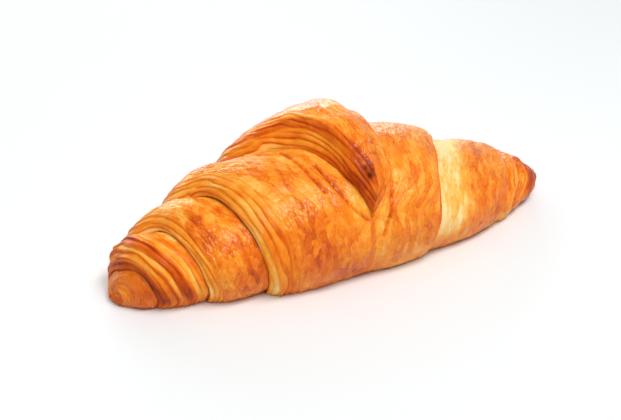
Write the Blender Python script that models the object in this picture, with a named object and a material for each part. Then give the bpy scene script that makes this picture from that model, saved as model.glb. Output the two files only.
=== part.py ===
"""A straight butter croissant as one solid: a long triangle of laminated dough, rolled up from its base
to its point and baked flat on a tray.

Metres, +Z up. The roll's axis runs along X, with the blunt end at -X and the slim end at +X. The loose
point of the triangle comes over the top and ends on the -Y side. The origin is on the face that the
croissant was baked on, under the middle of its length and width. The lengths along the roll below are
measured from its fullest section, which is a little way from that middle.

How the shape is worked out: the two cut edges of the triangle wind round the roll as two spirals, one
towards each end. The angle of roll back from the point, in degrees, is called the turn. At each turn an
edge has a distance along X and a step, the height of its lap above the lap below. Between one pass of an
edge and the next lies a band of crust, so each side of the croissant is one strip of bands and steps.
"""

import bmesh
import bpy
import numpy as np

FULLEST_X = 0.0033
FULLEST_Y = -0.0015

# The slender core that the laps are wound on: its size in the creases between the laps.
MID_WIDTH = 0.0600
MID_HEIGHT = 0.0420
BLUNT_REACH = 0.1035  # where the core would run out at the blunt end, if it weren't rounded off first
SLIM_REACH = 0.0885
BLUNT_WIDTH_POWER = 1.75  # the higher, the fuller the core stays towards that end
SLIM_WIDTH_POWER = 1.92
BLUNT_HEIGHT_POWER = 1.5
SLIM_HEIGHT_POWER = 1.15
SUNK_SHARE = 0.32  # how much of its lower half-height the section has lost to the flat of the tray
BLUNT_END = -0.0858
SLIM_END = 0.0792
BLUNT_ROUNDING = 0.0095  # how far from each end the core starts to round off to a point
SLIM_ROUNDING = 0.0090
BLUNT_LIFT = 0.0010  # how far each end bends up off the tray
SLIM_LIFT = 0.0046
LIFT_FROM = 0.050  # distance from the middle at which an end starts to bend up

POINT_ANGLE = 17.0  # where the loose point lies, in degrees above the horizontal on the -Y side
RIDGE = (  # the crest of the last lap, back from the point: turn, X, height above the core
    (0, -0.0060, 0.0000),
    (20, -0.0040, 0.0050),
    (50, -0.0035, 0.0079),
    (90, -0.0035, 0.0077),
    (150, -0.0040, 0.0045),
    (240, -0.0030, 0.0010),
    (330, -0.0060, 0.0010),
    (360, -0.0060, 0.0000),
)
# The cut edge on each side, back from the point: turn, X, step down to the lap below.
BLUNT_EDGE = (
    (0, -0.0060, 0.0000),
    (20, -0.0080, 0.0040),
    (40, -0.0120, 0.0068),
    (60, -0.0160, 0.0080),
    (75, -0.0198, 0.0078),
    (88, -0.0250, 0.0078),
    (98, -0.0330, 0.0076),
    (115, -0.0370, 0.0067),
    (200, -0.0385, 0.0040),
    (300, -0.0395, 0.0026),
    (345, -0.0418, 0.0034),
    (390, -0.0450, 0.0040),
    (415, -0.0472, 0.0045),
    (440, -0.0502, 0.0048),
    (452, -0.0533, 0.0055),
    (464, -0.0580, 0.0061),
    (480, -0.0605, 0.0053),
    (540, -0.0600, 0.0030),
    (640, -0.0588, 0.0012),
    (680, -0.0592, 0.0018),
    (725, -0.0615, 0.0030),
    (765, -0.0643, 0.0040),
    (796, -0.0672, 0.0048),
    (810, -0.0708, 0.0046),
    (822, -0.0742, 0.0042),
    (850, -0.0760, 0.0032),
    (910, -0.0755, 0.0022),
    (1035, -0.0745, 0.0012),
    (1085, -0.0765, 0.0034),
    (1125, -0.0795, 0.0052),
    (1155, -0.0822, 0.0046),
    (1185, -0.0832, 0.0036),
    (1215, -0.0836, 0.0022),
    (1260, -0.0838, 0.0010),
    (1440, BLUNT_END, 0.0000),
)
SLIM_EDGE = (
    (0, -0.0060, 0.0000),
    (10, -0.0025, 0.0020),
    (25, 0.0025, 0.0035),
    (65, 0.0070, 0.0045),
    (110, 0.0120, 0.0040),
    (330, 0.0190, 0.0015),
    (380, 0.0225, 0.0030),
    (420, 0.0310, 0.0032),
    (450, 0.0380, 0.0030),
    (500, 0.0430, 0.0025),
    (690, 0.0515, 0.0010),
    (765, 0.0605, 0.0036),
    (800, 0.0640, 0.0044),
    (850, 0.0650, 0.0030),
    (1060, 0.0580, 0.0010),
    (1110, 0.0650, 0.0020),
    (1160, 0.0690, 0.0025),
    (1230, 0.0700, 0.0015),
    (1420, 0.0645, 0.0005),
    (1465, 0.0700, 0.0015),
    (1520, 0.0728, 0.0015),
    (1800, SLIM_END, 0.0000),
)
# The brow of each edge: turn, how far back from the edge its lap reaches its full height, and how hollow
# the fall from there to the edge is, from 0 for a rounded one to 1 for a scooped one.
BLUNT_BROW = (
    (0, 0.0045, 0.0),
    (20, 0.0050, 0.1),
    (32, 0.0056, 0.4),
    (46, 0.0064, 0.9),
    (62, 0.0072, 1.0),
    (80, 0.0085, 0.8),
    (98, 0.0125, 0.3),
    (120, 0.0125, 0.0),
    (220, 0.0080, 0.0),
    (300, 0.0042, 0.0),
    (435, 0.0042, 0.0),
    (462, 0.0090, 0.0),
    (500, 0.0080, 0.0),
    (660, 0.0042, 0.0),
    (790, 0.0042, 0.0),
    (815, 0.0080, 0.0),
    (860, 0.0070, 0.0),
    (1035, 0.0042, 0.0),
    (1440, 0.0042, 0.0),
)
SLIM_BROW = ((0, 0.0035, 0.0), (1800, 0.0035, 0.0))
FULL_TURN = 360
PUFF = 0.0005  # how far the crust of a broad lap swells between its two creases
PUFF_WIDTH = 0.020  # a lap this broad swells fully
BROW_SHARE = 0.45  # of a narrow lap's width, the most that the fall from its brow takes up

# How finely the faceted solid follows the shape.
ROWS_PER_TURN = 44
BAND_SEGMENTS = 6
STEP_SEGMENTS = 4
MERGE_DISTANCE = 1e-6
SHARP_ANGLE = 40.0  # a bend sharper than this, in degrees, is shaded as an edge


def along(table, column, turns):
    """A column of a table of (turn, ...) rows, read at `turns` on a smooth curve that doesn't overshoot."""
    rows = np.array(table, float)
    x, y = rows[:, 0], rows[:, column]
    slopes = np.diff(y) / np.diff(x)
    same_way = slopes[:-1] * slopes[1:] > 0
    total = np.where(same_way, slopes[:-1] + slopes[1:], 1.0)
    at_knots = np.zeros(len(x))
    at_knots[1:-1] = np.where(same_way, 2 * slopes[:-1] * slopes[1:] / total, 0.0)
    turns = np.clip(np.asarray(turns, float), x[0], x[-1])
    i = np.clip(np.searchsorted(x, turns, side="right") - 1, 0, len(x) - 2)
    span = x[i + 1] - x[i]
    t = (turns - x[i]) / span
    from_low = (1 + 2 * t) * (1 - t) ** 2 * y[i] + t * (1 - t) ** 2 * span * at_knots[i]
    from_high = t * t * (3 - 2 * t) * y[i + 1] + t * t * (t - 1) * span * at_knots[i + 1]
    return from_low + from_high


def fullness(x, blunt_power, slim_power):
    """How full the core is at x, as a share of its middle: a taper, rounded off at the very end."""
    blunt = 1 - np.abs(x / BLUNT_REACH) ** blunt_power
    slim = 1 - np.abs(x / SLIM_REACH) ** slim_power
    into_blunt = np.clip(1 - (x - BLUNT_END) / BLUNT_ROUNDING, 0, 1)
    into_slim = np.clip(1 - (SLIM_END - x) / SLIM_ROUNDING, 0, 1)
    return np.where(x < 0, blunt, slim) * np.sqrt((1 - into_blunt**2) * (1 - into_slim**2))


def end_lift(x):
    """How far the underside is bent up off the tray at x."""
    blunt = np.clip((-x - LIFT_FROM) / (-BLUNT_END - LIFT_FROM), 0, 1) ** 2 * BLUNT_LIFT
    slim = np.clip((x - LIFT_FROM) / (SLIM_END - LIFT_FROM), 0, 1) ** 2 * SLIM_LIFT
    return blunt + slim


def on_section(x, turn, height):
    """Points at x and a turn round the roll, at a height above the core."""
    angle = np.radians(POINT_ANGLE + turn)
    half_width = MID_WIDTH / 2 * fullness(x, BLUNT_WIDTH_POWER, SLIM_WIDTH_POWER)
    whole_height = MID_HEIGHT * fullness(x, BLUNT_HEIGHT_POWER, SLIM_HEIGHT_POWER)
    half_height = whole_height / (2 - SUNK_SHARE)
    middle = half_height * (1 - SUNK_SHARE) + end_lift(x)
    y = -(half_width + height) * np.cos(angle)
    z = middle + (half_height + height) * np.sin(angle)
    return np.stack(np.broadcast_arrays(x + FULLEST_X, y + FULLEST_Y, z), axis=-1)


def strip(edge, brow):
    """One side of the croissant as rows of points: a row at each turn, from its inner line out to the next
    pass of the edge. The first turn starts from the ridge of the last lap, and the last runs to the end."""
    last_turn, end_x = edge[-1][0], edge[-1][1]
    rows = (last_turn + FULL_TURN) // FULL_TURN * ROWS_PER_TURN + 1
    turn = np.linspace(-FULL_TURN, last_turn, rows)[:, None]
    next_turn = turn + FULL_TURN
    inner_x = np.where(turn < 0, along(RIDGE, 1, next_turn), along(edge, 1, turn))
    inner_height = np.where(turn < 0, along(RIDGE, 2, next_turn), 0)
    foot_x = along(edge, 1, next_turn)
    step = along(edge, 2, next_turn)
    width = np.abs(foot_x - inner_x)
    brow_x = foot_x - np.sign(end_x) * np.minimum(along(brow, 1, next_turn), BROW_SHARE * width)
    hollow = along(brow, 2, next_turn)

    across = np.linspace(0, 1, BAND_SEGMENTS + 1)[None, :]
    rise = across * across * (3 - 2 * across)
    arch = np.sin(np.pi * across) ** np.where(turn < 0, 2, 1)
    puff = PUFF * np.minimum(1, width / PUFF_WIDTH) * arch
    band_x = inner_x + (brow_x - inner_x) * across
    band_height = inner_height + (step - inner_height) * rise + puff
    down = np.linspace(0, np.pi / 2, STEP_SEGMENTS + 1)[None, 1:]
    out = np.sin(down) + hollow * (1 - np.cos(down) - np.sin(down))
    left = np.cos(down) + hollow * (1 - np.sin(down) - np.cos(down))
    step_x = brow_x + (foot_x - brow_x) * out
    step_height = step * left
    return on_section(np.hstack([band_x, step_x]), turn, np.hstack([band_height, step_height]))


def build_croissant():
    """Joins the two strips along the ridge and the creases, and trims the underside flat at the tray."""
    mesh = bmesh.new()
    for edge, brow in ((BLUNT_EDGE, BLUNT_BROW), (SLIM_EDGE, SLIM_BROW)):
        rows = [[mesh.verts.new(point) for point in row] for row in strip(edge, brow)]
        for row, after in zip(rows, rows[1:]):
            for i in range(len(row) - 1):
                mesh.faces.new((row[i], row[i + 1], after[i + 1], after[i]))
    bmesh.ops.remove_doubles(mesh, verts=mesh.verts, dist=MERGE_DISTANCE)
    everything = mesh.verts[:] + mesh.edges[:] + mesh.faces[:]
    tray, down = (0, 0, 0), (0, 0, -1)
    cut = bmesh.ops.bisect_plane(mesh, geom=everything, plane_co=tray, plane_no=down, clear_outer=True)
    rim = [item for item in cut["geom_cut"] if isinstance(item, bmesh.types.BMEdge)]
    bmesh.ops.edgeloop_fill(mesh, edges=rim)
    bmesh.ops.recalc_face_normals(mesh, faces=mesh.faces)
    data = bpy.data.meshes.new("croissant")
    mesh.to_mesh(data)
    mesh.free()
    data.shade_smooth()
    data.set_sharp_from_angle(angle=np.radians(SHARP_ANGLE))
    croissant = bpy.data.objects.new("croissant", data)
    bpy.context.collection.objects.link(croissant)
    return croissant


def crust_material():
    """Egg-washed crust, baked golden brown."""
    crust = bpy.data.materials.new("crust")
    crust.use_nodes = True
    shader = crust.node_tree.nodes["Principled BSDF"]
    shader.inputs["Base Color"].default_value = (0.75, 0.27, 0.05, 1)
    shader.inputs["Roughness"].default_value = 0.38
    shader.inputs["Metallic"].default_value = 0.0
    return crust


def main():
    for old in list(bpy.data.objects):
        bpy.data.objects.remove(old, do_unlink=True)
    croissant = build_croissant()
    croissant.data.materials.append(crust_material())


if __name__ == "__main__":
    main()
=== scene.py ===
"""A baked croissant: one rolled piece of laminated dough, its laps, leaves and egg-washed crust.

Lengths are in metres, turns and angles in degrees. x runs along the roll, from its fullest section.
"""

import logging
from dataclasses import dataclass, field
from enum import Enum

import bpy
import numpy as np
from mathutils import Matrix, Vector


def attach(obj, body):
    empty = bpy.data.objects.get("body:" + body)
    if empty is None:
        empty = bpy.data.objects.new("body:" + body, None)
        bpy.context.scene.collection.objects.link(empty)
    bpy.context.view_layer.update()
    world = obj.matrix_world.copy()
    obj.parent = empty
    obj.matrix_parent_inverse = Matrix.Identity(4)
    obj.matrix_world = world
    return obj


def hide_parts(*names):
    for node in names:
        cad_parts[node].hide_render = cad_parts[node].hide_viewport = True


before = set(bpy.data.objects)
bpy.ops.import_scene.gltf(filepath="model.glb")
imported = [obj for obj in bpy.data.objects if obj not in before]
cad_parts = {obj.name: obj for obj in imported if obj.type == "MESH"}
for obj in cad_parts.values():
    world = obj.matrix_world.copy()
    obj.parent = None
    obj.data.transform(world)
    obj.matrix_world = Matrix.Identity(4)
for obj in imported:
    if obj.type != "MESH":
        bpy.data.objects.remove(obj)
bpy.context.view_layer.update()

LOG = logging.getLogger("croissant")
Table = tuple[tuple[float, ...], ...]
MM = 0.001
FULL_TURN = 360
POINT_ANGLE = 17.0  # where round the roll the dough's point ends, up from the front


def linear(hex_colour: str, alpha: float = 1.0) -> tuple[float, float, float, float]:
    """An sRGB hex colour as the linear colour that shaders take.

    Args:
        hex_colour: Six hex digits, red first.
        alpha: The fourth component.

    Returns:
        Red, green, blue and alpha.
    """
    srgb = np.array([int(hex_colour[i : i + 2], 16) / 255 for i in (0, 2, 4)])
    lin = np.where(srgb <= 0.04045, srgb / 12.92, ((srgb + 0.055) / 1.055) ** 2.4)
    return (*map(float, lin), alpha)


def smooth(value: np.ndarray, low: float, high: float) -> np.ndarray:
    """0 below low, 1 above high, and a smooth step between.

    Args:
        value: Where to read the step.
        low: The value where the step starts.
        high: The value where it ends.

    Returns:
        The step at each value.
    """
    share = np.clip((value - low) / (high - low), 0, 1)
    return share * share * (3 - 2 * share)


def along(table: Table, column: int, turns: np.ndarray) -> np.ndarray:
    """A column of a table of (turn, ...) rows, read on a smooth curve that doesn't overshoot.

    Args:
        table: Rows that start with the turn.
        column: Which column to read.
        turns: Where to read it.

    Returns:
        The column's value at each turn.
    """
    rows = np.array(table, float)
    x, y = rows[:, 0], rows[:, column]
    slopes = np.diff(y) / np.diff(x)
    same_way = slopes[:-1] * slopes[1:] > 0
    total = np.where(same_way, slopes[:-1] + slopes[1:], 1.0)
    at_knots = np.zeros(len(x))
    at_knots[1:-1] = np.where(same_way, 2 * slopes[:-1] * slopes[1:] / total, 0.0)
    turns = np.clip(np.asarray(turns, float), x[0], x[-1])
    i = np.clip(np.searchsorted(x, turns, side="right") - 1, 0, len(x) - 2)
    span = x[i + 1] - x[i]
    t = (turns - x[i]) / span
    from_low = (1 + 2 * t) * (1 - t) ** 2 * y[i] + t * (1 - t) ** 2 * span * at_knots[i]
    from_high = t * t * (3 - 2 * t) * y[i + 1] + t * t * (t - 1) * span * at_knots[i + 1]
    return from_low + from_high


class End(Enum):
    """The two ends of the roll, by the way that x runs towards them."""

    BLUNT = -1
    SLIM = 1


@dataclass(frozen=True)
class RollCore:
    """The tapering core that the laps of dough are wound on, flat where it rests on the tray."""

    fullest_x: float = 0.0033
    fullest_y: float = -0.0015
    mid_width: float = 0.0600
    mid_height: float = 0.0420
    blunt_reach: float = 0.1035
    slim_reach: float = 0.0885
    blunt_width_power: float = 1.75
    slim_width_power: float = 1.92
    blunt_height_power: float = 1.5
    slim_height_power: float = 1.15
    sunk_share: float = 0.32
    blunt_end: float = -0.0858
    slim_end: float = 0.0792
    blunt_rounding: float = 0.0095
    slim_rounding: float = 0.0090
    blunt_lift: float = 0.0010
    slim_lift: float = 0.0046
    lift_from: float = 0.050

    def fullness(self, x: np.ndarray, blunt_power: float, slim_power: float) -> np.ndarray:
        """How full the core is at x, as a share of its middle.

        Args:
            x: Places along the roll.
            blunt_power: How late the taper to the blunt end sets in.
            slim_power: How late the taper to the slim end sets in.

        Returns:
            The share at each place, falling to 0 in a rounded end.
        """
        blunt = 1 - np.abs(x / self.blunt_reach) ** blunt_power
        slim = 1 - np.abs(x / self.slim_reach) ** slim_power
        into_blunt = np.clip(1 - (x - self.blunt_end) / self.blunt_rounding, 0, 1)
        into_slim = np.clip(1 - (self.slim_end - x) / self.slim_rounding, 0, 1)
        return np.where(x < 0, blunt, slim) * np.sqrt((1 - into_blunt**2) * (1 - into_slim**2))

    def end_lift(self, x: np.ndarray) -> np.ndarray:
        """How far the underside is bent up off the tray at x."""
        blunt = np.clip((-x - self.lift_from) / (-self.blunt_end - self.lift_from), 0, 1) ** 2
        slim = np.clip((x - self.lift_from) / (self.slim_end - self.lift_from), 0, 1) ** 2
        return blunt * self.blunt_lift + slim * self.slim_lift

    def place(self, x: np.ndarray, turn: np.ndarray, height: np.ndarray) -> np.ndarray:
        """Points at a place along the roll, a turn round it and a height above the core.

        Args:
            x: Places along the roll.
            turn: Turns round it, from the dough's point.
            height: Heights above the core.

        Returns:
            The points, with x, y and z in the last axis.
        """
        angle = np.radians(POINT_ANGLE + turn)
        half_width = self.mid_width / 2 * self.fullness(x, self.blunt_width_power, self.slim_width_power)
        whole = self.mid_height * self.fullness(x, self.blunt_height_power, self.slim_height_power)
        half_height = whole / (2 - self.sunk_share)
        middle = half_height * (1 - self.sunk_share) + self.end_lift(x)
        y = -(half_width + height) * np.cos(angle)
        z = middle + (half_height + height) * np.sin(angle)
        return np.stack(np.broadcast_arrays(x + self.fullest_x, y + self.fullest_y, z), axis=-1)


RIDGE: Table = (
    (0, -0.0060, 0.0000),
    (20, -0.0040, 0.0050),
    (50, -0.0035, 0.0079),
    (90, -0.0035, 0.0077),
    (150, -0.0040, 0.0045),
    (240, -0.0030, 0.0010),
    (330, -0.0060, 0.0010),
    (360, -0.0060, 0.0000),
)
BLUNT_EDGE: Table = (
    (0, -0.0060, 0.0000),
    (20, -0.0080, 0.0040),
    (40, -0.0120, 0.0068),
    (60, -0.0160, 0.0080),
    (75, -0.0198, 0.0078),
    (88, -0.0250, 0.0078),
    (98, -0.0330, 0.0076),
    (115, -0.0370, 0.0067),
    (200, -0.0385, 0.0040),
    (300, -0.0395, 0.0026),
    (345, -0.0418, 0.0034),
    (390, -0.0450, 0.0040),
    (415, -0.0472, 0.0045),
    (440, -0.0502, 0.0048),
    (452, -0.0533, 0.0055),
    (464, -0.0580, 0.0061),
    (480, -0.0605, 0.0053),
    (540, -0.0600, 0.0030),
    (640, -0.0588, 0.0012),
    (680, -0.0592, 0.0018),
    (725, -0.0615, 0.0030),
    (765, -0.0643, 0.0040),
    (796, -0.0672, 0.0048),
    (810, -0.0708, 0.0046),
    (822, -0.0742, 0.0042),
    (850, -0.0760, 0.0032),
    (910, -0.0755, 0.0022),
    (1035, -0.0745, 0.0012),
    (1085, -0.0765, 0.0034),
    (1125, -0.0795, 0.0052),
    (1155, -0.0822, 0.0046),
    (1185, -0.0832, 0.0036),
    (1215, -0.0836, 0.0022),
    (1260, -0.0838, 0.0010),
    (1440, -0.0858, 0.0000),
)
SLIM_EDGE: Table = (
    (0, -0.0060, 0.0000),
    (10, -0.0025, 0.0020),
    (25, 0.0025, 0.0035),
    (65, 0.0070, 0.0045),
    (110, 0.0120, 0.0040),
    (330, 0.0190, 0.0015),
    (380, 0.0225, 0.0030),
    (420, 0.0310, 0.0032),
    (450, 0.0380, 0.0030),
    (500, 0.0430, 0.0025),
    (690, 0.0515, 0.0010),
    (765, 0.0605, 0.0036),
    (800, 0.0640, 0.0044),
    (850, 0.0650, 0.0030),
    (1060, 0.0580, 0.0010),
    (1110, 0.0650, 0.0020),
    (1160, 0.0690, 0.0025),
    (1230, 0.0700, 0.0015),
    (1420, 0.0645, 0.0005),
    (1465, 0.0700, 0.0015),
    (1520, 0.0728, 0.0015),
    (1800, 0.0792, 0.0000),
)
# How far the blunt side's edges are scooped out under a sharp brow, and how far back that brow stands.
BLUNT_SCOOP: Table = (
    (0, 0.0, 0.0045),
    (20, 0.1, 0.0050),
    (32, 0.4, 0.0056),
    (46, 0.9, 0.0064),
    (62, 1.0, 0.0072),
    (80, 0.8, 0.0085),
    (98, 0.3, 0.0125),
    (120, 0.0, 0.0125),
    (220, 0.0, 0.0080),
    (300, 0.0, 0.0042),
    (435, 0.0, 0.0042),
    (462, 0.0, 0.0090),
    (500, 0.0, 0.0080),
    (660, 0.0, 0.0042),
    (790, 0.0, 0.0042),
    (815, 0.0, 0.0080),
    (860, 0.0, 0.0070),
    (1035, 0.0, 0.0042),
    (1440, 0.0, 0.0042),
)
SLIM_SCOOP: Table = ((0, 0.0, 0.0035), (1800, 0.0, 0.0035))
# How broad the fanned-out leaves at a lap's edge are, and how many show: (turn of the edge, breadth, leaves).
BLUNT_LEAVES: Table = (
    (0, 0.0030, 3.0),
    (25, 0.0090, 5.5),
    (60, 0.0128, 6.5),
    (80, 0.0135, 6.5),
    (98, 0.0190, 6.5),
    (120, 0.0190, 6.5),
    (200, 0.0100, 5.0),
    (335, 0.0115, 5.0),
    (420, 0.0110, 5.0),
    (450, 0.0095, 4.5),
    (470, 0.0110, 4.5),
    (640, 0.0060, 3.0),
    (710, 0.0045, 2.5),
    (760, 0.0060, 3.5),
    (800, 0.0070, 3.5),
    (820, 0.0100, 4.0),
    (980, 0.0090, 4.5),
    (1050, 0.0150, 7.0),
    (1120, 0.0185, 8.0),
    (1200, 0.0150, 7.0),
    (1260, 0.0040, 2.0),
    (1440, 0.0030, 2.0),
)
SLIM_LEAVES: Table = (
    (0, 0.0008, 1.0),
    (50, 0.0012, 1.0),
    (110, 0.0036, 2.5),
    (330, 0.0030, 2.0),
    (450, 0.0045, 3.0),
    (690, 0.0030, 2.0),
    (765, 0.0035, 2.0),
    (1800, 0.0030, 2.0),
)


@dataclass(frozen=True)
class LapSheet:
    """The skin of one side of the roll as rows of points, a row for each step of the turn.

    Each row runs from the line where its lap comes out from under the one before, across the lap, and down
    its edge to the foot. The foot is where the next turn's row starts.
    """

    points: np.ndarray
    turn: np.ndarray
    x: np.ndarray
    from_foot: np.ndarray
    from_start: np.ndarray
    run: np.ndarray
    breadth: np.ndarray
    leaves: np.ndarray


class Line(Enum):
    """The lines of a lap that a stripe of tone is measured from."""

    FOOT = "from_foot"
    START = "from_start"


@dataclass(frozen=True)
class Stripe:
    """A stripe of lighter or darker crust that follows a line of the roll; some stripes are painted shade and one is a
    painted highlight.
    """

    end: End
    line: Line
    turns: tuple[float, float]
    near: float
    far: float
    tone: float
    fade: float = 25.0
    soft: float = 0.0008

    def on(self, sheet: LapSheet) -> np.ndarray:
        """How much the stripe changes the tone of each point."""
        away = getattr(sheet, self.line.value)
        start, stop = self.turns
        lasting = smooth(sheet.turn, start - self.fade, start) * (1 - smooth(sheet.turn, stop, stop + self.fade))
        across = smooth(away, self.near - self.soft, self.near + self.soft)
        across = across * (1 - smooth(away, self.far - self.soft, self.far + self.soft))
        return self.tone * lasting * across


@dataclass(frozen=True)
class Groove:
    """A crease pressed into the crust along a short path of (x, turn) points."""

    end: End
    path: tuple[tuple[float, float], ...]
    width: float
    depth: float
    metres_per_degree: float = 0.00040

    def on(self, sheet: LapSheet) -> np.ndarray:
        """How deep the groove is at each point."""
        there = np.stack([sheet.x, sheet.turn * self.metres_per_degree], axis=-1)
        marks = np.array(self.path) * (1, self.metres_per_degree)
        nearest = np.full(sheet.x.shape, 1.0)
        for start, stop in zip(marks, marks[1:]):
            way = stop - start
            share = np.clip((there - start) @ way / (way @ way), 0, 1)
            away = np.linalg.norm(there - start - share[..., None] * way, axis=-1)
            nearest = np.minimum(nearest, away)
        return self.depth * (1 - smooth(nearest, 0, self.width))


@dataclass(frozen=True)
class Patch:
    """A rounded patch of lighter or darker crust; one is a painted highlight."""

    end: End
    x: float
    turn: float
    reach: float
    turn_reach: float
    tone: float

    def on(self, sheet: LapSheet) -> np.ndarray:
        """How much the patch changes the tone of each point."""
        away = np.hypot((sheet.x - self.x) / self.reach, (sheet.turn - self.turn) / self.turn_reach)
        return self.tone * (1 - smooth(away, 0.35, 1.3))


# How brown the open crust is round each side: (turn, level), from 0 for pale dough to 1 for scorched.
# On the blunt side the level runs higher at the front and low down than over the top and back: partly the crust's own
# browning, partly painted shade.
BLUNT_TONES: Table = (
    (-360, 0.66),
    (-300, 0.60),
    (-230, 0.52),
    (-100, 0.58),
    (-20, 0.66),
    (30, 0.56),
    (80, 0.54),
    (200, 0.56),
    (340, 0.62),
    (400, 0.58),
    (470, 0.42),
    (600, 0.50),
    (700, 0.66),
    (760, 0.62),
    (830, 0.50),
    (1040, 0.68),
    (1100, 0.64),
    (1440, 0.62),
)
SLIM_TONES: Table = (
    (-360, 0.62),
    (-230, 0.50),
    (-60, 0.50),
    (0, 0.54),
    (50, 0.54),
    (100, 0.54),
    (300, 0.54),
    (380, 0.60),
    (460, 0.52),
    (660, 0.52),
    (740, 0.60),
    (1060, 0.60),
    (1400, 0.74),
    (1460, 0.94),
    (1800, 0.96),
)
STRIPES = (
    # The front of the body, pale beside the laps that come out from under it.
    Stripe(End.BLUNT, Line.FOOT, (-60, 15), 0.0, 0.0048, -0.24),
    Stripe(End.BLUNT, Line.FOOT, (15, 80), 0.0, 0.0022, -0.22),
    Stripe(End.BLUNT, Line.FOOT, (-60, 60), 0.0110, 0.0150, -0.10),
    # The second lap's pale foot.
    Stripe(End.BLUNT, Line.FOOT, (330, 450), 0.0, 0.0020, -0.30),
    # The scooped wall of the last lap: red-brown under its brow, partly the brow's own browning and partly painted
    # shade under the overhang; darker low on the wall, which is painted shade; paler at its foot.
    Stripe(End.BLUNT, Line.FOOT, (-345, -250), 0.0080, 0.0122, 0.24),
    Stripe(End.BLUNT, Line.FOOT, (-350, -300), 0.0005, 0.0050, 0.14, soft=0.0015),
    Stripe(End.BLUNT, Line.FOOT, (-300, -255), 0.0000, 0.0030, -0.08, soft=0.0015),
    # Where the body comes out from under the last lap: a paler strip that is a painted highlight, the sheen of the
    # lamps.
    Stripe(End.BLUNT, Line.START, (10, 95), -0.01, 0.0045, -0.14, soft=0.0020),
    # The ring round the blunt nub: glossy brown and golden leaves by turns.
    Stripe(End.BLUNT, Line.FOOT, (690, 860), 0.0000, 0.0040, 0.34),
    Stripe(End.BLUNT, Line.FOOT, (690, 860), 0.0044, 0.0060, -0.08),
    Stripe(End.BLUNT, Line.FOOT, (690, 860), 0.0062, 0.0074, 0.12),
    Stripe(End.BLUNT, Line.FOOT, (690, 860), 0.0076, 0.0092, -0.16),
    Stripe(End.BLUNT, Line.FOOT, (690, 860), 0.0094, 0.0125, 0.20),
    Stripe(End.BLUNT, Line.FOOT, (690, 860), 0.0132, 0.0165, -0.14),
    Stripe(End.BLUNT, Line.START, (770, 850), -0.01, 0.0040, -0.16),
    # The pale band on the slim side, and the brown edge of the lap beside it.
    Stripe(End.SLIM, Line.START, (340, 520), -0.01, 0.0118, -0.38, soft=0.0026),
    Stripe(End.SLIM, Line.FOOT, (-30, 140), 0.0010, 0.0036, 0.12, soft=0.0012),
)
PATCHES = (
    # Scorched spots on the last lap's point.
    Patch(End.BLUNT, -0.0063, -328.5, 0.0008, 1.7, 0.16),
    Patch(End.BLUNT, -0.0056, -334.0, 0.0008, 1.8, 0.18),
    Patch(End.SLIM, 0.0030, -333, 0.0050, 14, -0.08),
    Patch(End.SLIM, 0.0070, -330, 0.0060, 30, -0.08),
    # The body and the lap beside it.
    # This paler patch on the body is a painted highlight, the sheen of the lamps.
    Patch(End.BLUNT, -0.0110, 8, 0.0060, 14, -0.16),
    Patch(End.BLUNT, -0.0140, -38, 0.0065, 14, 0.14),
    Patch(End.BLUNT, -0.0200, 38, 0.0060, 16, -0.08),
    Patch(End.SLIM, 0.0125, 15, 0.0070, 45, 0.08),
    Patch(End.SLIM, 0.0060, 40, 0.0060, 40, -0.08),
    Patch(End.SLIM, -0.0030, 0, 0.0040, 20, -0.10),
    Patch(End.SLIM, 0.0345, 366, 0.0035, 12, -0.16),
    Patch(End.SLIM, 0.0396, 333, 0.0010, 3, 0.24),
    Patch(End.SLIM, 0.0480, 425, 0.0060, 20, 0.10),
    Patch(End.SLIM, 0.0720, 1115, 0.0050, 70, 0.12),
    # The rounded lap between them on the blunt side: a red-brown blister round a golden spot.
    Patch(End.BLUNT, -0.0592, 410, 0.0030, 8, 0.20),
    Patch(End.BLUNT, -0.0583, 390, 0.0020, 12, 0.16),
    Patch(End.BLUNT, -0.0546, 408, 0.0026, 6, -0.20),
    Patch(End.BLUNT, -0.0516, 413, 0.0022, 6, 0.14),
    Patch(End.BLUNT, -0.0520, 392, 0.0040, 9, -0.08),
    Patch(End.BLUNT, -0.0475, 338, 0.0050, 22, 0.18),
    Patch(End.BLUNT, -0.0480, 398, 0.0030, 8, 0.12),
    Patch(End.BLUNT, -0.0085, -333, 0.0045, 9, 0.10),
)
GROOVES = (
    Groove(End.BLUNT, ((-0.0240, 74), (-0.0225, 58), (-0.0212, 42), (-0.0195, 28)), 0.0011, 0.0010),
    Groove(End.BLUNT, ((-0.0180, 50), (-0.0160, 30), (-0.0120, 10), (-0.0078, -2)), 0.0010, 0.0010),
    Groove(End.BLUNT, ((-0.0290, 66), (-0.0300, 44), (-0.0290, 22)), 0.0012, 0.0005),
    Groove(End.SLIM, ((0.0066, 50), (0.0056, 34), (0.0022, 12), (0.0000, -3), (-0.0030, -16)), 0.0010, 0.0008),
    Groove(End.BLUNT, ((-0.0080, -318), (-0.0045, -316)), 0.0007, 0.00035),
    Groove(End.SLIM, ((-0.0040, -316), (0.0005, -315), (0.0030, -310)), 0.0007, 0.00045),
    Groove(End.BLUNT, ((-0.0075, -324), (-0.0045, -323)), 0.0007, 0.00035),
    Groove(End.SLIM, ((-0.0040, -323), (-0.0008, -322), (0.0012, -318)), 0.0007, 0.00045),
)


def browning(sheet: LapSheet, end: End) -> np.ndarray:
    """How brown the crust is at each point of a side, with the painted shade and painted highlight of some stripes and
    patches added in.

    Args:
        sheet: The side's rows.
        end: Which side it is.

    Returns:
        The level at each point.
    """
    level = along(BLUNT_TONES if end is End.BLUNT else SLIM_TONES, 1, sheet.turn) - 0.08
    for mark in (*STRIPES, *PATCHES):
        if mark.end is end:
            level = level + mark.on(sheet)
    return level


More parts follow.
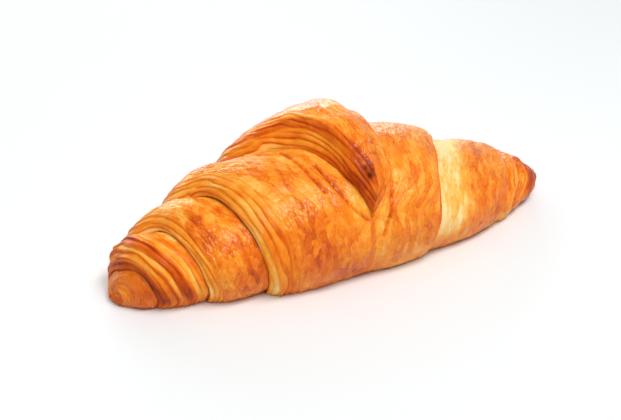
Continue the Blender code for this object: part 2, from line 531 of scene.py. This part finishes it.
@dataclass(frozen=True)
class LapSide:
    """One side of the roll: the edge that winds out to its end, and how its laps swell and overhang."""

    core: RollCore
    end: End
    edge: Table
    leaf_table: Table
    scoop_table: Table
    edge_columns: int
    lap_columns: int
    edge_reach: float
    shoulder_share: float = 0.45
    puff: float = 0.0005
    puff_width: float = 0.020
    overhang: float = 0.16  # of the step, how far the edge bulges out over the next lap
    undercut: float = 0.22  # of the step, how far the foot is drawn in under the edge
    sunk: float = 0.12  # of the step, how deep the foot lies
    emerging: float = 0.0022  # how far from its start a lap takes to come up to its height
    first_speed: float = 0.027  # run per radian of the first turn, the same on both sides of the ridge
    rows_per_turn: int = 400
    samples: int = 200

    def profile(self, turn: np.ndarray) -> tuple[np.ndarray, np.ndarray]:
        """The outline of each row across the lap, finely sampled.

        Args:
            turn: The rows' turns, as a column.

        Returns:
            The x and the height of the samples, a row each.
        """
        side = self.end.value
        ahead = turn + FULL_TURN
        first = turn < 0
        start_x = np.where(first, along(RIDGE, 1, ahead), along(self.edge, 1, turn))
        start_height = np.where(first, along(RIDGE, 2, ahead), 0)
        start_step = np.where(first, 0, along(self.edge, 2, turn))
        foot_x = along(self.edge, 1, ahead)
        step = along(self.edge, 2, ahead)
        width = np.abs(foot_x - start_x)
        scoop, shoulder = (along(self.scoop_table, column, ahead) for column in (1, 2))
        brow_x = foot_x - side * np.minimum(shoulder, self.shoulder_share * width)

        across = np.linspace(0, 1, self.samples)[None, :]
        rise = across * across * (3 - 2 * across)
        arch = np.sin(np.pi * across) ** np.where(first, 2, 1)
        swell = self.puff * np.minimum(1, width / self.puff_width) * arch
        hidden = np.clip(1 - across * width / self.emerging, 0, 1) ** 2
        lap_x = start_x + (brow_x - start_x) * across - side * self.undercut * start_step * hidden
        lap_height = start_height + (step - start_height) * rise + swell - self.sunk * start_step * hidden

        down = np.linspace(0, 1, self.samples)[None, 1:]
        b0, b1, b2, b3 = (1 - down) ** 3, 3 * down * (1 - down) ** 2, 3 * down**2 * (1 - down), down**3
        bull_nose_x = brow_x + 0.75 * (foot_x - brow_x) + side * self.overhang * step
        bull_under_x = foot_x + side * 2.2 * self.overhang * step
        lip_x = brow_x + side * 0.28 * step
        hollow_x = foot_x - side * 0.25 * (foot_x - brow_x) * side
        nose_x = bull_nose_x + scoop * (lip_x - bull_nose_x)
        under_x = bull_under_x + scoop * (hollow_x - bull_under_x)
        tuck_x = foot_x - side * self.undercut * step * (1 - 0.6 * scoop)
        edge_x = b0 * brow_x + b1 * nose_x + b2 * under_x + b3 * tuck_x
        nose_height = step * (1 - 0.55 * scoop)
        under_height = step * (0.40 - 0.26 * scoop)
        edge_height = b0 * step + b1 * nose_height + b2 * under_height - b3 * self.sunk * step
        return np.hstack([lap_x, edge_x]), np.hstack([lap_height, edge_height])

    def sheet(self) -> LapSheet:
        """Winds the side's rows out to its end.

        Returns:
            The rows, evenly spaced along the surface, with what the relief and the finish need to know.
        """
        last_turn = self.edge[-1][0]
        count = (int(last_turn) + FULL_TURN) // FULL_TURN * self.rows_per_turn + 1
        turn = np.linspace(-FULL_TURN, last_turn, count)[:, None]
        x, height = self.profile(turn)
        fine = self.core.place(x, turn, height)
        gone = np.zeros(x.shape)
        gone[:, 1:] = np.cumsum(np.linalg.norm(np.diff(fine, axis=1), axis=-1), axis=1)
        whole = gone[:, -1:]
        edge_part = np.minimum(self.edge_reach, 0.6 * whole)
        on_lap = np.linspace(0, 1, self.lap_columns + 1)[None, :-1] * (whole - edge_part)
        on_edge = whole - edge_part + np.linspace(0, 1, self.edge_columns + 1)[None, :] * edge_part
        wanted = np.hstack([on_lap, on_edge])
        new_x = np.array([np.interp(w, g, v) for w, g, v in zip(wanted, gone, x)])
        new_height = np.array([np.interp(w, g, v) for w, g, v in zip(wanted, gone, height)])
        points = self.core.place(new_x, turn, new_height)
        middle = points[:, points.shape[1] // 2]
        steps = np.linalg.norm(np.diff(middle, axis=0), axis=1)
        steps = np.where(turn[1:, 0] <= 0, self.first_speed * np.radians(np.diff(turn[:, 0])), steps)
        run = np.concatenate([[0], np.cumsum(steps)])[:, None]
        ahead = turn + FULL_TURN
        shape = wanted.shape
        return LapSheet(
            points=points,
            turn=np.broadcast_to(turn, shape),
            x=new_x,
            from_foot=whole - wanted,
            from_start=wanted,
            run=np.broadcast_to(run, shape),
            breadth=np.broadcast_to(along(self.leaf_table, 1, ahead), shape),
            leaves=np.broadcast_to(along(self.leaf_table, 2, ahead), shape),
        )


@dataclass
class Wiring:
    """Adds nodes to one tree and links them as it goes."""

    tree: bpy.types.NodeTree

    def node(self, kind: str, inputs: dict | None = None, **settings: object) -> bpy.types.Node:
        """Adds a node.

        Args:
            kind: The node's type.
            inputs: By socket name or index, a socket to link from or a plain value.
            **settings: The node's own properties.

        Returns:
            The node.
        """
        made = self.tree.nodes.new(kind)
        for name, value in settings.items():
            setattr(made, name, value)
        for key, value in (inputs or {}).items():
            socket = made.inputs[key]
            if isinstance(value, bpy.types.NodeSocket):
                self.tree.links.new(value, socket)
            else:
                socket.default_value = value
        return made

    def math(self, operation: str, *values: object) -> bpy.types.NodeSocket:
        """The result of a Math node on sockets or numbers."""
        return self.node("ShaderNodeMath", dict(enumerate(values)), operation=operation).outputs[0]

    def step(self, value: object, low: float, high: float, start: float = 0.0, end: float = 1.0):
        """A smooth step of a value from start at low to end at high."""
        inputs = {"Value": value, 1: low, 2: high, 3: start, 4: end}
        made = self.node("ShaderNodeMapRange", inputs, interpolation_type="SMOOTHSTEP")
        return made.outputs["Result"]

    def ramp(self, value: object, low: float, high: float, start: float = 0.0, end: float = 1.0):
        """A straight, clamped ramp of a value from start at low to end at high."""
        return self.node("ShaderNodeMapRange", {"Value": value, 1: low, 2: high, 3: start, 4: end}).outputs[0]

    def noise(self, vector: object, scale: float, detail: float = 2.0, rough: float = 0.5, **more: float):
        """The value of a Noise Texture, about 0.5 on average."""
        inputs = {"Vector": vector, "Scale": scale, "Detail": detail, "Roughness": rough, **more}
        return self.node("ShaderNodeTexNoise", inputs).outputs[0]

    def cells(self, vector: object, feature: str) -> bpy.types.Node:
        """A flat Voronoi Texture."""
        settings = {"feature": feature, "voronoi_dimensions": "2D"}
        return self.node("ShaderNodeTexVoronoi", {"Vector": vector, "Scale": 1.0}, **settings)

    def warped(self, vector: object, scale: float, amount: float) -> bpy.types.NodeSocket:
        """A vector moved about by noise."""
        noise = self.node("ShaderNodeTexNoise", {"Vector": vector, "Scale": scale, "Detail": 2.0}).outputs["Color"]
        return self.stretch(noise, (amount, amount, 0.0), vector)

    def stretch(self, vector: object, scale: tuple[float, float, float], move: object = (0.0, 0.0, 0.0)):
        """A vector scaled on each axis and moved."""
        inputs = {0: vector, 1: scale, 2: move}
        return self.node("ShaderNodeVectorMath", inputs, operation="MULTIPLY_ADD").outputs[0]


def new_tree(name: str, kind: str, inputs: dict[str, object], outputs: dict[str, str]) -> bpy.types.NodeTree:
    """A node group with its sockets.

    Args:
        name: The group's name.
        kind: The type of tree.
        inputs: By name, a socket type, or a number for a float socket with that default.
        outputs: By name, a socket type.

    Returns:
        The group, with its input and output nodes placed.
    """
    tree = bpy.data.node_groups.new(name, kind)
    for label, value in inputs.items():
        plain = isinstance(value, (int, float))
        socket_type = "NodeSocketFloat" if plain else str(value)
        made = tree.interface.new_socket(label, in_out="INPUT", socket_type=socket_type)
        if plain:
            made.default_value = float(value)
    for label, socket_type in outputs.items():
        tree.interface.new_socket(label, in_out="OUTPUT", socket_type=socket_type)
    tree.nodes.new("NodeGroupInput")
    tree.nodes.new("NodeGroupOutput")
    return tree


def skin_mesh(name: str, points: np.ndarray, quads: np.ndarray, layers: dict[str, np.ndarray]) -> bpy.types.Mesh:
    """A mesh from corners and four-cornered faces, of which those with a collapsed side become triangles.

    Args:
        name: The mesh's name.
        points: The corners.
        quads: The faces, four corner numbers each.
        layers: Values for each corner, by attribute name.

    Returns:
        The mesh, smooth shaded.
    """
    used, renumbered = np.unique(quads, return_inverse=True)
    quads = renumbered.reshape(-1, 4)
    repeated = quads == np.roll(quads, 1, axis=1)
    sides = 4 - repeated.sum(axis=1)
    kept = sides >= 3
    corners = quads[kept][~repeated[kept]]
    sides = sides[kept]
    mesh = bpy.data.meshes.new(name)
    mesh.vertices.add(len(used))
    mesh.vertices.foreach_set("co", points[used].astype(np.float32).ravel())
    mesh.loops.add(len(corners))
    mesh.loops.foreach_set("vertex_index", corners.astype(np.int32))
    mesh.polygons.add(len(sides))
    starts = np.concatenate([[0], np.cumsum(sides)[:-1]])
    mesh.polygons.foreach_set("loop_start", starts.astype(np.int32))
    mesh.update(calc_edges=True)
    mesh.validate()
    mesh.shade_smooth()
    for label, values in layers.items():
        flat = values[used].astype(np.float32)
        form, member = ("FLOAT_VECTOR", "vector") if flat.ndim == 2 else ("FLOAT", "value")
        mesh.attributes.new(label, form, "POINT").data.foreach_set(member, flat.ravel())
    return mesh


@dataclass(frozen=True)
class CrustRelief:
    """The low relief of baked dough: leaf edges, folds along the lap, crinkles, blisters and broad lumps."""

    leaf_depth: float = 0.00055
    fold_depth: float = 0.00026
    crinkle_depth: float = 0.00020
    dimple_depth: float = 0.00035
    lump_depth: float = 0.00060
    meander: float = 1.0
    seed: float = 3.0

    def sizes(self) -> dict[str, float]:
        """The tree's inputs by name."""
        return {
            "Leaf depth": self.leaf_depth,
            "Fold depth": self.fold_depth,
            "Crinkle depth": self.crinkle_depth,
            "Dimple depth": self.dimple_depth,
            "Lump depth": self.lump_depth,
            "Meander": self.meander,
            "Seed": self.seed,
        }

    def tree(self, finish: bpy.types.Material) -> bpy.types.NodeTree:
        """The Geometry Nodes tree that raises the relief.

        Args:
            finish: The material that the result wears.

        Returns:
            The tree.
        """
        inputs = {"Geometry": "NodeSocketGeometry", **self.sizes()}
        tree = new_tree("crust_relief", "GeometryNodeTree", inputs, {"Geometry": "NodeSocketGeometry"})
        w = Wiring(tree)
        given = tree.nodes["Group Input"].outputs

        def read(label: str, form: str = "FLOAT") -> bpy.types.NodeSocket:
            """A named attribute of the dough."""
            return w.node("GeometryNodeInputNamedAttribute", {"Name": label}, data_type=form).outputs[0]

        flow, phase, open_share = read("flow", "FLOAT_VECTOR"), read("phase"), read("open")
        crumple, lift, groove = read("crumple"), read("lift"), read("groove")
        moved = w.node("ShaderNodeCombineXYZ", {2: given["Seed"]}).outputs[0]

        # The leaves at a lap's edge: they wander along it, differ in breadth, and lift and sink.
        slow = w.noise(w.stretch(flow, (38.0, 170.0, 1.0), moved), 1.0, 1.0)
        uneven = w.noise(w.stretch(flow, (14.0, 330.0, 1.0), moved), 1.0, 0.0)
        wander = w.math("MULTIPLY_ADD", w.math("SUBTRACT", slow, 0.5), 1.5, w.math("SUBTRACT", uneven, 0.5))
        leaf = w.math("MULTIPLY_ADD", wander, given["Meander"], phase)
        at = w.math("FRACT", leaf)
        lip = w.math("MULTIPLY", w.step(at, 0.0, 0.22), w.step(at, 0.3, 1.0, 1.0, 0.0))
        name = w.math("MULTIPLY_ADD", w.math("FLOOR", leaf), 7.3, given["Seed"])
        leaf_name = w.node("ShaderNodeCombineXYZ", {1: name}).outputs[0]
        lifted = w.ramp(w.noise(w.stretch(flow, (60.0, 0.0, 1.0), leaf_name), 1.0, 1.0), 0.3, 0.7, 0.1, 1.2)
        leaf_rise = w.math("MULTIPLY", w.math("MULTIPLY", lip, lifted), w.math("MULTIPLY", lift, given["Leaf depth"]))

        # Folds and crinkles of the skin, longest along the lap.
        bent = w.noise(w.stretch(flow, (85.0, 185.0, 1.0), moved), 1.0, 1.5, 0.5, Distortion=1.2)
        fold = w.ramp(w.math("ABSOLUTE", w.math("SUBTRACT", bent, 0.5)), 0.0, 0.16)
        small = w.noise(w.stretch(flow, (380.0, 640.0, 1.0), moved), 1.0, 1.0, 0.5, Distortion=0.8)
        crinkle = w.ramp(w.math("ABSOLUTE", w.math("SUBTRACT", small, 0.5)), 0.0, 0.2)
        place = w.node("GeometryNodeInputPosition").outputs[0]
        dimple = w.ramp(w.noise(w.stretch(place, (230.0, 230.0, 230.0), moved), 1.0, 1.0), 0.25, 0.75)
        skin_rise = w.math("MULTIPLY", fold, given["Fold depth"])
        skin_rise = w.math("MULTIPLY_ADD", crinkle, given["Crinkle depth"], skin_rise)
        skin_rise = w.math("MULTIPLY_ADD", dimple, given["Dimple depth"], skin_rise)
        fine = w.math("MULTIPLY_ADD", skin_rise, crumple, leaf_rise)

        broad = w.noise(w.stretch(place, (60.0, 75.0, 75.0), moved), 1.0, 1.0)
        lump_rise = w.math("MULTIPLY", w.math("SUBTRACT", broad, 0.5), w.math("MULTIPLY", given["Lump depth"], 2.0))
        rise = w.math("SUBTRACT", w.math("MULTIPLY_ADD", fine, open_share, lump_rise), groove)
        normal = w.node("GeometryNodeInputNormal").outputs[0]
        push = w.node("ShaderNodeVectorMath", {0: normal, 3: rise}, operation="SCALE").outputs[0]
        raised = w.node("GeometryNodeSetPosition", {"Geometry": given["Geometry"], "Offset": push})
        after = w.node("GeometryNodeInputPosition").outputs[0]
        flat = w.node("ShaderNodeVectorMath", {0: after, 1: (-1.0, -1.0, 0.0)}, operation="MAXIMUM").outputs[0]
        rested = w.node("GeometryNodeSetPosition", {"Geometry": raised.outputs[0], "Position": flat})

        kept = rested.outputs[0]
        crease = w.math("MULTIPLY", w.step(fold, 0.0, 0.28, 1.0, 0.0), w.math("MULTIPLY", crumple, open_share))
        for label, value in (("leaf", leaf), ("relief", w.math("DIVIDE", fine, MM)), ("crease", crease)):
            store = {"Geometry": kept, "Name": label, "Value": value}
            kept = w.node("GeometryNodeStoreNamedAttribute", store, data_type="FLOAT", domain="POINT").outputs[0]
        real = w.node("GeometryNodeRealizeInstances", {0: kept}).outputs[0]
        dressed = w.node("GeometryNodeSetMaterial", {"Geometry": real, "Material": finish}).outputs[0]
        tree.links.new(dressed, tree.nodes["Group Output"].inputs[0])
        return tree

    def raise_on(self, dough: bpy.types.Object, finish: bpy.types.Material) -> bpy.types.Mesh:
        """Raises the relief on the dough.

        Args:
            dough: The plain skin.
            finish: The material that the result wears.

        Returns:
            The skin with its relief, as a plain mesh.
        """
        tree = self.tree(finish)
        modifier = dough.modifiers.new("relief", "NODES")
        modifier.node_group = tree
        sizes = self.sizes()
        for item in tree.interface.items_tree:
            if item.item_type == "SOCKET" and item.name in sizes:
                modifier[item.identifier] = sizes[item.name]
        graph = bpy.context.evaluated_depsgraph_get()
        mesh = bpy.data.meshes.new_from_object(dough.evaluated_get(graph))
        dough.modifiers.remove(modifier)
        return mesh


@dataclass(frozen=True)
class CrustFinish:
    """Egg-washed crust: from pale straw where it was covered to dark brown where it caught the heat, with painted shade
    darkening its folds, grooves and the lines between leaves.
    """

    specular: float = 0.12
    specular_tint: str = "FFE6CC"
    coat_roughness: float = 0.17
    glow: float = 0.3
    tones: tuple[tuple[float, str], ...] = (
        (0.00, "F7D799"),
        (0.16, "F6C168"),
        (0.32, "F4A136"),
        (0.46, "EC8418"),
        (0.58, "DF6B0C"),
        (0.70, "C95206"),
        (0.80, "B34404"),
        (0.88, "9C3703"),
        (0.96, "7E2A04"),
        (1.00, "451A0A"),
    )

    def material(self) -> bpy.types.Material:
        """Makes the finish.

        Returns:
            The material, which reads the attributes of the dough.
        """
        made = bpy.data.materials.new("crust")
        made.use_nodes = True
        tree = made.node_tree
        w = Wiring(tree)
        shader = tree.nodes["Principled BSDF"]

        def read(label: str) -> bpy.types.Node:
            """A named attribute of the dough."""
            return w.node("ShaderNodeAttribute", attribute_name=label)

        flow = read("flow").outputs["Vector"]
        bake_and_painted_light, fan = read("bake_and_painted_light").outputs["Fac"], read("fan").outputs["Fac"]
        leaf, relief = read("leaf").outputs["Fac"], read("relief").outputs["Fac"]
        crease = read("crease").outputs["Fac"]
        at = w.math("FRACT", leaf)
        place = w.node("ShaderNodeTexCoord").outputs["Object"]

        mottle = w.noise(w.stretch(flow, (210.0, 430.0, 1.0)), 1.0, 5.0, 0.70, Distortion=0.4)
        blotch = w.noise(w.stretch(place, (55.0, 55.0, 55.0)), 1.0, 2.0, 0.5)
        plate_at = w.warped(w.stretch(flow, (190.0, 470.0, 1.0)), 1.1, 1.5)
        plate = w.cells(plate_at, "F1")
        plate_edge = w.cells(plate_at, "DISTANCE_TO_EDGE").outputs["Distance"]
        patchy = w.step(w.noise(w.stretch(flow, (60.0, 90.0, 1.0), (7.0, 0.0, 0.0)), 1.0, 1.0), 0.42, 0.62)
        crack = w.math("MULTIPLY", w.step(plate_edge, 0.0, 0.07, 1.0, 0.0), patchy)
        plate_name = w.node("ShaderNodeSeparateColor", {0: plate.outputs["Color"]}).outputs
        crinkle_at = w.warped(w.stretch(flow, (420.0, 1000.0, 1.0)), 0.9, 1.0)
        crinkle = w.step(w.cells(crinkle_at, "DISTANCE_TO_EDGE").outputs["Distance"], 0.0, 0.30)

        smooth_share = w.math("MULTIPLY_ADD", fan, -0.85, 1.0)
        name = w.math("MULTIPLY", w.math("FLOOR", leaf), 7.3)
        leaf_name = w.node("ShaderNodeCombineXYZ", {1: name}).outputs[0]
        own = w.ramp(w.noise(w.stretch(flow, (55.0, 0.0, 1.0), leaf_name), 1.0, 1.0), 0.25, 0.75, -0.20, 0.13)
        fading = w.ramp(w.noise(w.stretch(flow, (90.0, 0.0, 1.0), leaf_name), 1.0, 2.0), 0.35, 0.60)
        lip = w.math("MULTIPLY", w.step(at, 0.02, 0.12), w.step(at, 0.12, 0.6, 1.0, 0.0))
        # Dark lines between the leaves: partly the leaves' own darker edges, partly painted shade in the grooves
        # between them.
        between = w.math("ADD", w.step(at, 0.0, 0.09, 1.0, 0.0), w.step(at, 0.95, 1.0))
        between = w.math("MULTIPLY", between, fading)
        hair_at = w.math("FRACT", w.math("MULTIPLY_ADD", leaf, 2.7, w.ramp(mottle, 0.25, 0.75, -0.35, 0.35)))
        hair = w.math("MULTIPLY", w.step(hair_at, 0.0, 0.16, 1.0, 0.0), w.ramp(blotch, 0.40, 0.60, 0.3, 1.0))
        leaves = w.math("MULTIPLY_ADD", lip, 0.05, own)
        leaves = w.math("MULTIPLY_ADD", between, 0.13, leaves)
        leaves = w.math("MULTIPLY_ADD", hair, 0.05, leaves)

        level = w.math("MULTIPLY_ADD", leaves, fan, bake_and_painted_light)
        # Darker in the valleys of the folds: painted shade.
        level = w.math("MULTIPLY_ADD", crease, 0.06, level)
        # Darker in the pressed grooves: painted shade.
        level = w.math("ADD", level, w.ramp(read("groove").outputs["Fac"], 0.0001, 0.0008, 0.0, 0.24))
        skin = w.math("MULTIPLY_ADD", crack, 0.08, w.ramp(plate_name[0], 0.0, 1.0, -0.10, 0.10))
        skin = w.math("MULTIPLY_ADD", crinkle, -0.05, skin)
        level = w.math("MULTIPLY_ADD", skin, smooth_share, level)
        for part in (
            w.ramp(mottle, 0.25, 0.75, -0.12, 0.12),
            w.ramp(blotch, 0.3, 0.7, -0.08, 0.08),
            w.ramp(relief, 0.1, 0.9, -0.06, 0.06),
        ):
            level = w.math("ADD", level, part)
        ramp = w.node("ShaderNodeValToRGB", {0: level})
        stops = ramp.color_ramp.elements
        while len(stops) > 1:
            stops.remove(stops[-1])
        stops[0].position, stops[0].color = self.tones[0][0], linear(self.tones[0][1])
        for position, colour in self.tones[1:]:
            stops.new(position).color = linear(colour)
        tree.links.new(ramp.outputs["Color"], shader.inputs["Base Color"])
        shader.inputs["Specular IOR Level"].default_value = self.specular
        shader.inputs["Specular Tint"].default_value = linear(self.specular_tint)
        dry = w.math("MULTIPLY_ADD", fan, 0.14, w.ramp(bake_and_painted_light, 0.1, 0.4, 0.52, 0.33))
        rough = w.math("ADD", dry, w.ramp(w.noise(w.stretch(place, (300.0, 300.0, 300.0)), 1.0), 0.3, 0.7, -0.06, 0.08))
        tree.links.new(rough, shader.inputs["Roughness"])
        washed = w.math("MULTIPLY_ADD", fan, -0.18, w.ramp(bake_and_painted_light, 0.1, 0.4, 0.06, 0.34))
        tree.links.new(washed, shader.inputs["Coat Weight"])
        shader.inputs["Coat Roughness"].default_value = self.coat_roughness
        shader.inputs["Subsurface Weight"].default_value = self.glow
        shader.inputs["Subsurface Radius"].default_value = (1.0, 0.4, 0.12)
        shader.inputs["Subsurface Scale"].default_value = 0.7 * MM
        grain = w.noise(w.stretch(place, (1500.0, 1500.0, 1500.0)), 1.0, 2.0, 0.6)
        dome = w.math("MULTIPLY_ADD", plate.outputs["Distance"], -0.16, w.math("MULTIPLY", plate_name[1], 0.12))
        height = w.math("MULTIPLY_ADD", crinkle, 0.05, w.math("MULTIPLY_ADD", crack, -0.10, dome))
        height = w.math("MULTIPLY", height, smooth_share)
        ridged = w.math("MULTIPLY", w.math("MULTIPLY_ADD", hair, 0.5, between), fan)
        height = w.math("MULTIPLY_ADD", ridged, -0.12, w.math("MULTIPLY_ADD", grain, 0.04, height))
        bump = w.node("ShaderNodeBump", {"Strength": 1.0, "Distance": MM, "Height": height})
        for socket in ("Normal", "Coat Normal"):
            tree.links.new(bump.outputs[0], shader.inputs[socket])
        return made


@dataclass
class Croissant:
    """The rolled dough: two sides wound from the ridge of the last lap, as pieces of one skin."""

    core: RollCore = field(default_factory=RollCore)
    relief: CrustRelief = field(default_factory=CrustRelief)
    finish: CrustFinish = field(default_factory=CrustFinish)

    def sides(self) -> tuple[LapSide, LapSide]:
        """The two sides, blunt and slim."""
        blunt = LapSide(self.core, End.BLUNT, BLUNT_EDGE, BLUNT_LEAVES, BLUNT_SCOOP, 60, 40, 0.0125)
        slim = LapSide(self.core, End.SLIM, SLIM_EDGE, SLIM_LEAVES, SLIM_SCOOP, 34, 38, 0.0070)
        return blunt, slim

    def layers(self, sheet: LapSheet, end: End) -> dict[str, np.ndarray]:
        """What the relief and the finish read from a side.

        Args:
            sheet: The side's rows.
            end: Which side it is.

        Returns:
            Values for each point, by attribute name.
        """
        flow = np.stack([sheet.run, end.value * sheet.from_start, np.zeros(sheet.x.shape)], axis=-1)
        fan = 1 - smooth(sheet.from_foot / sheet.breadth, 0.85, 1.2)
        phase = sheet.leaves * sheet.from_foot / sheet.breadth
        emerged = np.where(sheet.turn < 0, 1, smooth(sheet.from_start, 0.0, 0.0016))
        open_share = smooth(sheet.from_foot, 0.0002, 0.0014) * emerged
        crumple = 1 - 0.75 * fan
        bake_and_painted_light = browning(sheet, end)
        groove = sum((mark.on(sheet) for mark in GROOVES if mark.end is end), np.zeros(sheet.x.shape))
        lift = fan * (1 + 0.6 * smooth(sheet.turn, 640, 760) * (end is End.BLUNT))
        return {"groove": groove, "lift": lift, "flow": flow, "fan": fan, "phase": phase, "open": open_share, "crumple": crumple, "bake_and_painted_light": bake_and_painted_light}

    def skin(self) -> tuple[np.ndarray, np.ndarray, np.ndarray, dict[str, np.ndarray]]:
        """Joins the two sides into one closed skin.

        Returns:
            The points, the four-cornered faces, the turn and side of each face, and the attributes.
        """
        all_points, all_quads, marks, gathered = [], [], [], {}
        base, ridge_line = 0, None
        for side in self.sides():
            sheet = side.sheet()
            rows, columns = sheet.x.shape
            per_turn = side.rows_per_turn
            number = base + np.arange(rows * columns).reshape(rows, columns)
            if ridge_line is None:
                ridge_line = number[: per_turn + 1, 0].copy()
            number[: per_turn + 1, 0] = ridge_line
            number[0, :] = ridge_line[0]
            number[per_turn, 0] = ridge_line[0]
            number[per_turn + 1 :, 0] = number[1 : rows - per_turn, -1]
            tail = rows - 1 - per_turn
            number[tail:, -1] = number[tail, -1]
            number[-1, :] = number[tail, -1]
            number[per_turn + 1 :, 0] = number[1 : rows - per_turn, -1]
            turned = side.end is End.SLIM
            quads = np.stack([number[:-1, :-1], number[:-1, 1:], number[1:, 1:], number[1:, :-1]], axis=-1)
            if turned:
                quads = quads[..., ::-1]
            all_quads.append(quads.reshape(-1, 4))
            all_points.append(sheet.points.reshape(-1, 3))
            turns = np.broadcast_to(sheet.turn[:-1, :1], quads.shape[:2])
            marks.append(np.stack([turns, np.full(turns.shape, side.end.value)], axis=-1).reshape(-1, 2))
            for label, values in self.layers(sheet, side.end).items():
                flat = values.reshape(-1, *values.shape[2:])
                gathered.setdefault(label, []).append(flat)
            base += rows * columns
        points, quads = np.concatenate(all_points), np.concatenate(all_quads)
        a, b, c, d = (points[quads[:, i]] for i in range(4))
        volume = np.einsum("ij,ij->i", a, np.cross(b, c)).sum() + np.einsum("ij,ij->i", a, np.cross(c, d)).sum()
        if volume < 0:
            quads = quads[:, ::-1]
        return points, quads, np.concatenate(marks), {k: np.concatenate(v) for k, v in gathered.items()}

    def build(self) -> list[bpy.types.Object]:
        """Builds and dresses the croissant.

        Returns:
            Its pieces.
        """
        crust = self.finish.material()
        points, quads, marks, layers = self.skin()
        dough = bpy.data.objects.new("dough", skin_mesh("dough", points, quads, layers))
        used = np.unique(quads)
        bpy.context.scene.collection.objects.link(dough)
        raised = self.relief.raise_on(dough, crust)
        bpy.data.objects.remove(dough)
        placed = np.empty(len(raised.vertices) * 3, np.float32)
        raised.vertices.foreach_get("co", placed)
        points = points.copy()
        points[used] = placed.reshape(-1, 3)
        for label in ("leaf", "relief", "crease"):
            values = np.empty(len(raised.vertices), np.float32)
            raised.attributes[label].data.foreach_get("value", values)
            layers[label] = np.zeros(len(points))
            layers[label][used] = values
        for label in ("phase", "open", "crumple", "lift"):
            del layers[label]
        turn, side = marks[:, 0], marks[:, 1]
        first_cut, second_cut, third_cut = -107, 253, 613
        parts = {
            "last_lap": turn < first_cut,
            "blunt_laps": (side < 0) & (turn >= first_cut) & (turn < third_cut),
            "blunt_end": (side < 0) & (turn >= third_cut),
            "slim_laps": (side > 0) & (turn >= first_cut) & (turn < third_cut),
            "slim_end": (side > 0) & (turn >= third_cut),
        }
        pieces = []
        for name, chosen in parts.items():
            mesh = skin_mesh(name, points, quads[chosen], layers)
            mesh.materials.append(crust)
            piece = bpy.data.objects.new(name, mesh)
            bpy.context.scene.collection.objects.link(piece)
            mesh.calc_loop_triangles()
            LOG.info("%s: %d triangles", name, len(mesh.loop_triangles))
            pieces.append(piece)
        return pieces


@dataclass(frozen=True)
class Studio:
    """A pale floor under soft white light, and the camera."""

    floor_size: float = 3.0
    camera_place: tuple[float, float, float] = (-0.21744, -0.38383, 0.25674)
    camera_aim: tuple[float, float, float] = (-0.00890, 0.00018, 0.01326)
    lens: float = 85.6

    def floor(self) -> bpy.types.Object:
        """A plain white floor."""
        half = self.floor_size / 2
        mesh = bpy.data.meshes.new("floor")
        mesh.from_pydata([(-half, -half, 0), (half, -half, 0), (half, half, 0), (-half, half, 0)], [], [(0, 1, 2, 3)])
        made = bpy.data.materials.new("floor")
        made.use_nodes = True
        shader = made.node_tree.nodes["Principled BSDF"]
        shader.inputs["Base Color"].default_value = (0.80, 0.825, 0.83, 1)
        shader.inputs["Roughness"].default_value = 0.6
        mesh.materials.append(made)
        floor = bpy.data.objects.new("floor", mesh)
        bpy.context.scene.collection.objects.link(floor)
        return floor

    def lamp(self, name: str, place: tuple, size: tuple, power: float, aim: tuple = (0, 0, 0.02)) -> None:
        """A soft light.

        Args:
            name: Its name.
            place: Where it stands.
            size: Its width and height.
            power: Its power in watts.
            aim: What it points at.
        """
        data = bpy.data.lights.new(name, "AREA")
        data.shape = "RECTANGLE"
        data.size, data.size_y = size
        data.energy = power
        lamp = bpy.data.objects.new(name, data)
        lamp.location = place
        lamp.rotation_euler = (Vector(aim) - Vector(place)).to_track_quat("-Z", "Y").to_euler()
        bpy.context.scene.collection.objects.link(lamp)

    def build(self) -> None:
        """Sets up the floor, the lights and the camera."""
        self.floor()
        self.lamp("front_top", (-0.09, -0.49, 0.87), (0.46, 0.46), 5.0)
        self.lamp("front_right", (0.22, -0.36, 0.90), (0.44, 0.26), 4.0)
        self.lamp("back", (0.18, 1.21, 0.26), (1.30, 0.36), 8.2)
        world = bpy.data.worlds.new("studio")
        world.use_nodes = True
        world.node_tree.nodes["Background"].inputs["Color"].default_value = (1, 1, 1, 1)
        world.node_tree.nodes["Background"].inputs["Strength"].default_value = 0.40
        scene = bpy.context.scene
        scene.world = world
        scene.view_settings.view_transform = "Standard"
        data = bpy.data.cameras.new("camera")
        data.lens, data.sensor_width = self.lens, 36.0
        data.clip_start = 0.01
        camera = bpy.data.objects.new("camera", data)
        camera.location = self.camera_place
        look = Vector(self.camera_aim) - Vector(self.camera_place)
        camera.rotation_euler = look.to_track_quat("-Z", "Y").to_euler()
        scene.collection.objects.link(camera)
        scene.camera = camera


def main() -> None:
    """Builds the studio and the croissant, attaches its pieces to the root body and hides the imported croissant part.
    """
    logging.basicConfig(level=logging.INFO, format="%(name)s: %(message)s")
    Studio().build()
    for piece in Croissant().build():
        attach(piece, "root")
        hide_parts("croissant")


if __name__ == "__main__":
    main()
